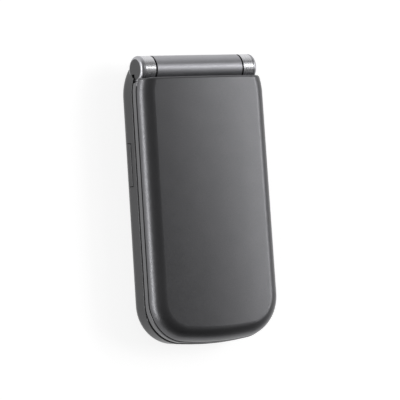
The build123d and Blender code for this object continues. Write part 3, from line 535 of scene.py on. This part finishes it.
# ---- Operators
class PHONE_OT_painted_shells(bpy.types.Operator):
    """Satin metallic paint on the shells, caps, lid frame and hinge barrel, with painted shade: a
    darker copy of the paint on the base, dark cap discs and black barrel ends
    """
    bl_idname = "phone.painted_shells"
    bl_label = "Painted shells"

    def cap_paint(self, colours, sizes):
        """Paint of the end caps: a bright rim, and a disc painted dark as painted shade for the
        dark surroundings it reflects.
        """
        low, high = corners(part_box("ear_caps"))
        radius = (high.y - low.y) / 2
        cap = metallic_paint("cap_paint", colours.base)
        centred = cap.mapped(vector_type="TEXTURE", Scale=(FLAT, 1, 1),
                             Location=(0, low.y + radius, high.z - radius))
        out = cap.node("ShaderNodeVectorMath", operation="LENGTH")
        cap.link(centred, out.inputs[0])
        # Painted shade: inside this radius the disc keeps the darkened base colour; outside it is
        # the rim's lighter finish
        disc = radius - sizes.cap_rim
        rim = cap.ranged(out.outputs["Value"], low=0.0, high=1.0, start=disc,
                         stop=disc + sizes.cap_rim_fade)
        cap.blend(rim, colours.cap_rim)
        return cap

    def barrel_finish_and_end_shade(self, colours, sizes):
        """Satin finish of the barrel, its ends painted black as painted shade of the gaps at the
        bands.
        """
        barrel = metallic_paint("barrel_finish_and_end_shade", colours.barrel, roughness=0.38)
        shade_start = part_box("hinge_barrel")[1][0] - sizes.barrel_end_shade
        out = barrel.combine("ABSOLUTE", barrel.axes(barrel.place)["X"])
        # Painted shade: black beyond this, for the shade in the gap between barrel and band
        barrel.blend(barrel.combine("GREATER_THAN", out, shade_start), colours.gap)
        return barrel

    def execute(self, context):
        colours = context.scene.phone_colours
        sizes = context.scene.phone_sizes
        dress(metallic_paint("shell_paint", colours.shell), "lid_cover")
        # Painted shade: base, rocker and battery cover take the darkened copy of the lid cover's
        # paint
        dress(metallic_paint("shaded_base_paint", colours.base), "base_front_housing", "volume_rocker")
        dress(self.cap_paint(colours, sizes), "ear_caps")
        dress(metallic_paint("rim_paint", colours.rim), "lid_frame")
        dress(self.barrel_finish_and_end_shade(colours, sizes), "hinge_barrel")
        dress(metallic_paint("shaded_cover_paint", colours.base), "battery_cover")
        return {"FINISHED"}


class PHONE_OT_polished_bands(bpy.types.Operator):
    """Polished metal on the two bands of the hinge, their ends at the barrel painted black as
    painted shade of the gap there
    """
    bl_idname = "phone.polished_bands"
    bl_label = "Polished bands"

    def execute(self, context):
        colours = context.scene.phone_colours
        sizes = context.scene.phone_sizes
        band = Shader("polished_band", colours.band, metallic=1.0, roughness=0.27)
        drawn = band.noise(0.12 * MM, detail=3.0, vector=band.mapped(Scale=(1.0, 0.04, 0.04)))
        band.rough(drawn, spread=0.02)
        band.shade(band.ranged(drawn, low=0.96, high=1.04))
        bright_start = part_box("hinge_barrel")[1][0] + sizes.band_end_shade
        out = band.combine("ABSOLUTE", band.axes(band.place)["X"])
        # Painted shade: black up to here, for the shade in the gap at the barrel's end
        band.blend(band.combine("LESS_THAN", out, bright_start), colours.gap)
        dress(band, "ear_bands")
        return {"FINISHED"}


class PHONE_OT_seam_shade(bpy.types.Operator):
    """Black strips in the seam of the lid and between the halves, painted shade for the shade in
    these gaps
    """
    # Painted shade: the seals of this step are black strips standing in for the shade in the
    # seams
    bl_idname = "phone.seals"
    bl_label = "Seals"

    def execute(self, context):
        sizes = context.scene.phone_sizes
        # Painted shade: a black rubber look for the strips that stand in for the shade in the
        # seams
        rubber = moulded_plastic("painted_seam_shade", context.scene.phone_colours.gap, roughness=0.85,
                                 grain=0.15, Specular_IOR_Level=0.15)
        frame_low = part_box("lid_frame")[0][2]
        bumper_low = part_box("lid_bumpers")[0][2]
        cover_low = frame_low + sizes.cover_rise
        end_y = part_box("ear_caps")[0][1] - sizes.shade_strip_end
        shade_strip("parting_shade_strip", "lid_frame", height=frame_low + sizes.cover_rise / 2,
             low=bumper_low, high=bumper_low + sizes.parting_strip_height, end_y=end_y, shader=rubber)
        shade_strip("seam_shade_strip", "lid_cover", height=cover_low + sizes.outline_rise,
             low=cover_low - sizes.seam_strip_height, high=cover_low, end_y=end_y, shader=rubber)
        return {"FINISHED"}


class PHONE_OT_keys(bpy.types.Operator):
    """Satin keys with printed digits, letters and marks"""
    bl_idname = "phone.keys"
    bl_label = "Keys and legends"

    letters = {"key_1": "", "key_2": "ABC", "key_3": "DEF", "key_4": "GHI", "key_5": "JKL",
               "key_6": "MNO", "key_7": "PQRS", "key_8": "TUV", "key_9": "WXYZ",
               "key_0": "+", "key_star": "", "key_hash": ""}
    signs = {"key_star": "*", "key_hash": "#"}
    call_turn, end_turn = 0.6, math.pi

    # Places on a key, as shares of half its width
    digit_out, letters_out, arrow_out = 0.42, 0.336, 0.76

    def inked(self, name, colour_value):
        """Ink of a printed mark."""
        return moulded_plastic(name, colour_value, roughness=0.5, grain=0.1)

    def digit_legends(self, sizes, ink):
        """Digits, signs and letters on the twelve keys."""
        thin = sizes.print_thickness
        for name, word in self.letters.items():
            top, half_width = middle_top(name)
            mesh = bmesh.new()
            digit = self.signs.get(name, name[-1])
            left = self.digit_out * half_width if name not in self.signs else 0.0
            add_text(mesh, digit, sizes.digit_height, top - Vector((left, 0, 0)), thin)
            if word:
                right = self.letters_out * half_width
                add_text(mesh, word, sizes.letter_height, top + Vector((right, 0, 0)), thin)
            finished("legend_" + name, mesh, ink, name)

    def ring_arrows(self, sizes, ink):
        """Four arrows that point outwards on the ring key."""
        thin = sizes.print_thickness
        top, half_width = middle_top("key_pad")
        mesh = bmesh.new()
        for quarter in range(4):
            arrow = bmesh.ops.create_cone(mesh, cap_ends=True, segments=3,
                                          radius1=sizes.arrow_radius,
                                          radius2=sizes.arrow_radius, depth=thin)["verts"]
            out = self.arrow_out * half_width
            bmesh.ops.translate(mesh, verts=arrow, vec=(0, out, thin / 2))
            moved(mesh, arrow, top, quarter * math.pi / 2)
        finished("ring_arrows", mesh, ink, "key_pad")

    def execute(self, context):
        colours = context.scene.phone_colours
        sizes = context.scene.phone_sizes
        thin = sizes.print_thickness
        key = moulded_plastic("key_satin", colours.key, roughness=0.38, grain=0.12,
                              Coat_Weight=0.25, Coat_Roughness=0.3)
        dress(key, *self.letters, "key_call", "key_end", "key_soft_left", "key_soft_right",
              "key_ok")
        dress(metallic_paint("ring_paint", colours.ring, roughness=0.3), "key_pad")
        white = self.inked("legend_print", colours.legend)
        self.digit_legends(sizes, white)
        for name, ink, turn in (
                ("key_call", self.inked("call_print", colours.call), self.call_turn),
                ("key_end", self.inked("end_print", colours.end), self.end_turn)):
            top, _ = middle_top(name)
            mesh = bmesh.new()
            add_handset(mesh, sizes.mark_size, thin, top, turn)
            finished("mark_" + name, mesh, ink, name)
        for name in ("key_soft_left", "key_soft_right"):
            top, _ = middle_top(name)
            mesh = plate(sizes.mark_size, sizes.dash_height, thin,
                         corner=0.45 * sizes.dash_height, segments=5)
            bmesh.ops.translate(mesh, verts=mesh.verts, vec=top + Vector((0, 0, thin / 2)))
            finished("mark_" + name, mesh, white, name)
        self.ring_arrows(sizes, self.inked("arrow_print", colours.arrow))
        top, _ = middle_top("key_ok")
        mesh = bmesh.new()
        add_text(mesh, "OK", sizes.letter_height, top, thin)
        finished("legend_key_ok", mesh, white, "key_ok")
        return {"FINISHED"}


class PHONE_OT_display(bpy.types.Operator):
    """Display window with its black border, the panel behind it and the dust meshes"""
    bl_idname = "phone.display"
    bl_label = "Display"

    def panel_finish(self, colours):
        """Panel that is switched off, with fine lines between its dots."""
        panel = Shader("display_panel", colours.panel, roughness=0.22, Specular_IOR_Level=0.4)
        rows = panel.lattice("ADD", pitch=0.17 * MM, width=0.03 * MM)
        panel.shade(panel.ranged(rows, low=1.0, high=0.6, start=0.0, stop=1.0))
        panel.rough(panel.noise(3 * MM), spread=0.04)
        return panel

    def window_border(self, colours, sizes):
        """Black print on the inner face of the window, round the panel."""
        ink = moulded_plastic("window_border", colours.border, roughness=0.35, grain=0.1,
                              Specular_IOR_Level=0.1)
        low, high = corners(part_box("display_lens"))
        panel_low, panel_high = corners(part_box("display_module"))
        middle = (low + high) / 2
        thin = sizes.print_thickness
        width = high.x - low.x - 2 * sizes.border_margin
        height = high.y - low.y - 2 * sizes.border_margin
        clear_x = (panel_high.x - panel_low.x) / 2 - sizes.window_border
        clear_y = (panel_high.y - panel_low.y) / 2 - sizes.window_border
        mesh = plate(width, height, thin, corner=sizes.border_corner, segments=10)
        for axis, reach in ((Vector((1, 0, 0)), clear_x), (Vector((0, 1, 0)), clear_y)):
            for way in (-1, 1):
                bmesh.ops.bisect_plane(mesh, geom=mesh.verts[:] + mesh.edges[:] + mesh.faces[:],
                                       dist=0.0, plane_co=axis * way * reach, plane_no=axis)
        hole = [face for face in mesh.faces if abs(face.normal.z) > 0.5
                and abs(face.calc_center_median().x) < clear_x
                and abs(face.calc_center_median().y) < clear_y]
        edges = [edge for edge in mesh.edges
                 if sum(face in hole for face in edge.link_faces) == 1]
        bmesh.ops.delete(mesh, geom=hole, context="FACES_KEEP_BOUNDARY")
        bmesh.ops.bridge_loops(mesh, edges=edges)
        bmesh.ops.translate(mesh, verts=mesh.verts, vec=(middle.x, middle.y, high.z + thin))
        finished("window_border", mesh, ink, "lid")

    def woven_mesh(self, colours):
        """Woven dust mesh, its holes painted dark as painted shade of the cavity behind."""
        weave = moulded_plastic("woven_mesh", colours.weave, roughness=0.6, grain=0.2)
        threads = weave.lattice("MAXIMUM", pitch=0.3 * MM, width=0.13 * MM)
        # Painted shade: the holes between the threads are darkened for the cavity behind the mesh
        weave.shade(weave.ranged(threads, low=0.15, high=2.4, start=0.0, stop=1.0))
        weave.bump(threads, depth=0.05 * MM)
        return weave

    def execute(self, context):
        colours = context.scene.phone_colours
        glass = Shader("window_glass", (0.9, 0.9, 0.92), roughness=0.04,
                       Transmission_Weight=1.0, IOR=1.45)
        glass.rough(glass.noise(4 * MM), spread=0.02)
        dress(glass, "camera_window")
        smoked = Shader("smoked_window", colours.window, roughness=0.06, IOR=1.6, Alpha=0.55)
        smoked.rough(smoked.noise(5 * MM), spread=0.02)
        smoked.shade(smoked.ranged(smoked.noise(14 * MM, detail=1.0), low=0.9, high=1.1))
        dress(smoked, "display_lens")
        dress(self.panel_finish(colours), "display_module")
        self.window_border(colours, context.scene.phone_sizes)
        dress(self.woven_mesh(colours), "earpiece_mesh", "speaker_mesh")
        return {"FINISHED"}


class PHONE_OT_inner_parts(bpy.types.Operator):
    """Finishes of the boards, battery, camera, screws, hinge and other inner parts"""
    bl_idname = "phone.inner_parts"
    bl_label = "Inner parts"

    def plastics(self):
        """Moulded parts, rubber, films and boards."""
        black = moulded_plastic("inner_plastic", (0.02, 0.02, 0.022), roughness=0.55, grain=0.4)
        dress(black, "base_rear_housing", "hinge_bush", "antenna", "loudspeaker", "earpiece")
        chips = moulded_plastic("chip_plastic", (0.012, 0.012, 0.013), roughness=0.6, grain=0.08)
        dress(chips, "board_components", "side_switches", "camera_module")
        rubber = moulded_plastic("soft_rubber", (0.018, 0.018, 0.019), roughness=0.8, grain=0.18,
                                 Sheen_Weight=0.2)
        dress(rubber, "key_mat", "lid_bumpers")
        dress(circuit_board("solder_mask", (0.01, 0.09, 0.04)), "main_board", "lid_board")
        film = moulded_plastic("dome_film", (0.5, 0.46, 0.38), roughness=0.3, grain=0.8,
                               Coat_Weight=0.5)
        dress(film, "dome_sheet")
        flex = moulded_plastic("flex_film", (0.35, 0.16, 0.04), roughness=0.3, grain=0.3,
                               Coat_Weight=0.3)
        track_colour = (0.5, 0.27, 0.08)
        flex.blend(flex.lines(pitch=0.6 * MM, width=0.3 * MM, axis=0), track_colour)
        dress(flex, "hinge_flex")

    def metals(self):
        """Sheet metal, turned parts, contacts and the battery's wrap."""
        tin = bare_metal("tinned_sheet", (0.55, 0.55, 0.56), roughness=0.35)
        dress(tin, "shield_can", "sim_holder", "usb_port", "display_tray")
        steel = bare_metal("turned_steel", (0.5, 0.5, 0.51), roughness=0.28,
                           stretch=(1.0, 0.1, 0.1))
        dress(steel, "hinge_shaft", "hinge_cam", "hinge_housing", "hinge_follower",
              "hinge_spring", "lid_magnet", "vibration_motor", "lid_screws", "base_screws")
        dress(bare_metal("gold_plate", (0.75, 0.52, 0.2), roughness=0.25), "battery_contacts")
        wrap = bare_metal("battery_wrap", (0.25, 0.25, 0.27), roughness=0.4,
                          stretch=(1.0, 0.02, 1.0))
        stripe_end, stripe_colour = -28 * MM, (0.02, 0.03, 0.06)
        stripe = wrap.combine("LESS_THAN", wrap.axes(wrap.place)["Y"], stripe_end)
        wrap.blend(stripe, stripe_colour)
        dress(wrap, "battery")

    def execute(self, context):
        self.plastics()
        self.metals()
        return {"FINISHED"}


class PHONE_OT_camera_eye(bpy.types.Operator):
    """Dark ring and glass eye behind the camera window"""
    bl_idname = "phone.camera_eye"
    bl_label = "Camera eye"

    # Heights in the room between window and camera, as shares of it
    ring_low, ring_high, cone_low, eye_middle = 0.12, 0.88, 0.55, 0.6
    eye_flatness = 0.35

    def execute(self, context):
        sizes = context.scene.phone_sizes
        low, high = corners(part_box("camera_window"))
        module_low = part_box("camera_module")[0][2]
        middle = (low + high) / 2
        room = module_low - high.z
        ring = moulded_plastic("camera_ring", (0.015, 0.015, 0.016), roughness=0.3, grain=0.2)
        mesh = bmesh.new()
        section = closed_line(mesh, [
            (middle.x + radius, middle.y, high.z + share * room)
            for radius, share in ((sizes.ring_radius, self.ring_low),
                                  (sizes.ring_radius, self.ring_high),
                                  (sizes.ring_top_radius, self.ring_high),
                                  (sizes.ring_hole_radius, self.cone_low),
                                  (sizes.ring_hole_radius, self.ring_low))])
        bmesh.ops.spin(mesh, geom=section, cent=middle, axis=(0, 0, 1), steps=48,
                       angle=2 * math.pi, use_merge=True)
        bmesh.ops.reverse_faces(mesh, faces=mesh.faces)
        finished("camera_ring", mesh, ring, "base")

        glass = Shader("camera_eye", (0.01, 0.012, 0.03), roughness=0.05, Coat_Weight=1.0,
                       Coat_Roughness=0.02)
        glass.shade(glass.ranged(glass.noise(1.5 * MM, detail=1.0), low=0.8, high=1.2))
        mesh = bmesh.new()
        ball = bmesh.ops.create_uvsphere(mesh, u_segments=32, v_segments=16,
                                         radius=sizes.eye_radius)["verts"]
        bmesh.ops.scale(mesh, verts=ball, vec=(1, 1, self.eye_flatness))
        bmesh.ops.translate(mesh, verts=ball,
                            vec=(middle.x, middle.y, high.z + self.eye_middle * room))
        made = finished("camera_eye", mesh, glass, "base")
        made.data.shade_smooth()
        return {"FINISHED"}


class PHONE_OT_studio(bpy.types.Operator):
    """Pale floor, softboxes and the camera"""
    bl_idname = "phone.studio"
    bl_label = "Studio"

    # Place of each light, its size along the phone and its size across, in metres
    softboxes = {"left_strip": ((-1.0, 0, 0.11), 1.4, 0.2),
                 "right_softbox": ((0.74, 0.16, 0.64), 0.62, 0.26),
                 "back_softbox": ((0.53, 0.21, 0.82), 0.14, 0.22)}

    # Parts of the room, as Z and Y of the direction
    walls_top, ceiling_start = 0.2, 0.6
    front_end, middle_start = -0.8, 0.0

    def camera(self, scene):
        """Camera turned to the phone's left side."""
        studio = scene.phone_studio
        low, high = corners(cad_bounds)
        aim = (low + high) / 2
        aim.z = studio.aim_height
        turn = (Matrix.Rotation(studio.roll, 3, "Z") @ Matrix.Rotation(studio.pitch, 3, "X")
                @ Matrix.Rotation(studio.yaw, 3, "Y")).transposed()
        back = turn @ Vector((-studio.aim_right, -studio.aim_up, studio.distance))
        camera = bpy.data.cameras.new("camera")
        camera.lens = studio.lens
        camera.sensor_width = 36
        camera.clip_end = 20
        scene.camera = in_scene("camera", camera)
        scene.camera.matrix_world = Matrix.Translation(aim + back) @ turn.to_4x4()

    def floor(self, studio):
        """Pale floor that looks white and lights the phone only a little."""
        mesh = bmesh.new()
        bmesh.ops.create_grid(mesh, x_segments=1, y_segments=1, size=studio.floor_reach)
        bmesh.ops.translate(mesh, verts=mesh.verts, vec=(0, 0, -studio.floor_gap))
        floor = bpy.data.meshes.new("floor")
        mesh.to_mesh(floor)
        mesh.free()
        floor_object = in_scene("floor", floor)
        pale = Shader("floor_paper", (0.4, 0.4, 0.4), roughness=0.8)
        pale.shade(pale.ranged(pale.noise(0.6), low=0.99, high=1.01))
        rays = pale.node("ShaderNodeLightPath").outputs
        seen = pale.combine("MAXIMUM", rays["Is Camera Ray"], rays["Is Glossy Ray"])
        seen = pale.combine("MAXIMUM", seen, rays["Is Transmission Ray"])
        glow = pale.combine("MULTIPLY", seen, studio.floor_glow)
        pale.shader.inputs["Emission Color"].default_value = (1, 1, 1, 1)
        pale.link(glow, pale.shader.inputs["Emission Strength"])
        floor.materials.append(pale.material)

    def room(self, scene):
        """Room with bright walls, a darker front and a dim ceiling."""
        studio = scene.phone_studio
        scene.world = bpy.data.worlds.new("room")
        scene.world.use_nodes = True
        room = Nodes(scene.world.node_tree)
        direction = room.axes(room.node("ShaderNodeTexCoord").outputs["Generated"])
        fade = room.ranged(direction["Z"], low=studio.walls, high=studio.ceiling,
                           start=self.walls_top, stop=self.ceiling_start,
                           interpolation_type="SMOOTHSTEP")
        front = room.ranged(direction["Y"], low=studio.front, high=1.0,
                            start=self.front_end, stop=self.middle_start)
        background = room.tree.nodes["Background"]
        background.inputs["Color"].default_value = (1, 1, 1, 1)
        room.link(room.combine("MULTIPLY", fade, front), background.inputs["Strength"])

    def softbox(self, name, place, along, across, radiance):
        """Rectangular light that faces the phone, its first side along the phone."""
        lamp = bpy.data.lights.new(name, "AREA")
        lamp.shape = "RECTANGLE"
        lamp.size = along
        lamp.size_y = across
        lamp.energy = radiance * math.pi * along * across
        back = Vector(place).normalized()
        side = (Vector((0, 1, 0)) - back * back.y).normalized()
        turn = Matrix((side, back.cross(side), back)).transposed()
        in_scene(name, lamp).matrix_world = Matrix.Translation(place) @ turn.to_4x4()

    def execute(self, context):
        studio = context.scene.phone_studio
        self.camera(context.scene)
        self.floor(studio)
        self.room(context.scene)
        for name, (place, along, across) in self.softboxes.items():
            self.softbox(name, place, along, across, getattr(studio, name))
        context.scene.view_settings.view_transform = "Standard"
        return {"FINISHED"}


class PHONE_PT_panel(bpy.types.Panel):
    """Steps and settings of the phone"""
    bl_label = "Flip phone"
    bl_idname = "PHONE_PT_panel"
    bl_space_type = "VIEW_3D"
    bl_region_type = "UI"
    bl_category = "Flip phone"

    def draw(self, context):
        for step in steps:
            self.layout.operator(step.bl_idname)
        for group in (context.scene.phone_colours, context.scene.phone_sizes,
                      context.scene.phone_studio):
            box = self.layout.box()
            for name in group.__annotations__:
                box.prop(group, name)


steps = (PHONE_OT_painted_shells, PHONE_OT_polished_bands, PHONE_OT_seam_shade, PHONE_OT_keys,
         PHONE_OT_display, PHONE_OT_inner_parts, PHONE_OT_camera_eye, PHONE_OT_studio)
groups = {"phone_colours": PhoneColours, "phone_sizes": PhoneSizes, "phone_studio": PhoneStudio}


def register():
    """Register the classes and the scene's properties."""
    for kind in (*groups.values(), *steps, PHONE_PT_panel):
        bpy.utils.register_class(kind)
    for name, kind in groups.items():
        setattr(bpy.types.Scene, name, PointerProperty(type=kind))


def unregister():
    """Take the classes and the properties out again."""
    for name in groups:
        delattr(bpy.types.Scene, name)
    for kind in (PHONE_PT_panel, *reversed(steps), *reversed(groups.values())):
        bpy.utils.unregister_class(kind)


def main():
    """Run every step."""
    register()
    for step in steps:
        area, name = step.bl_idname.split(".")
        getattr(getattr(bpy.ops, area), name)()


if __name__ == "__main__":
    main()
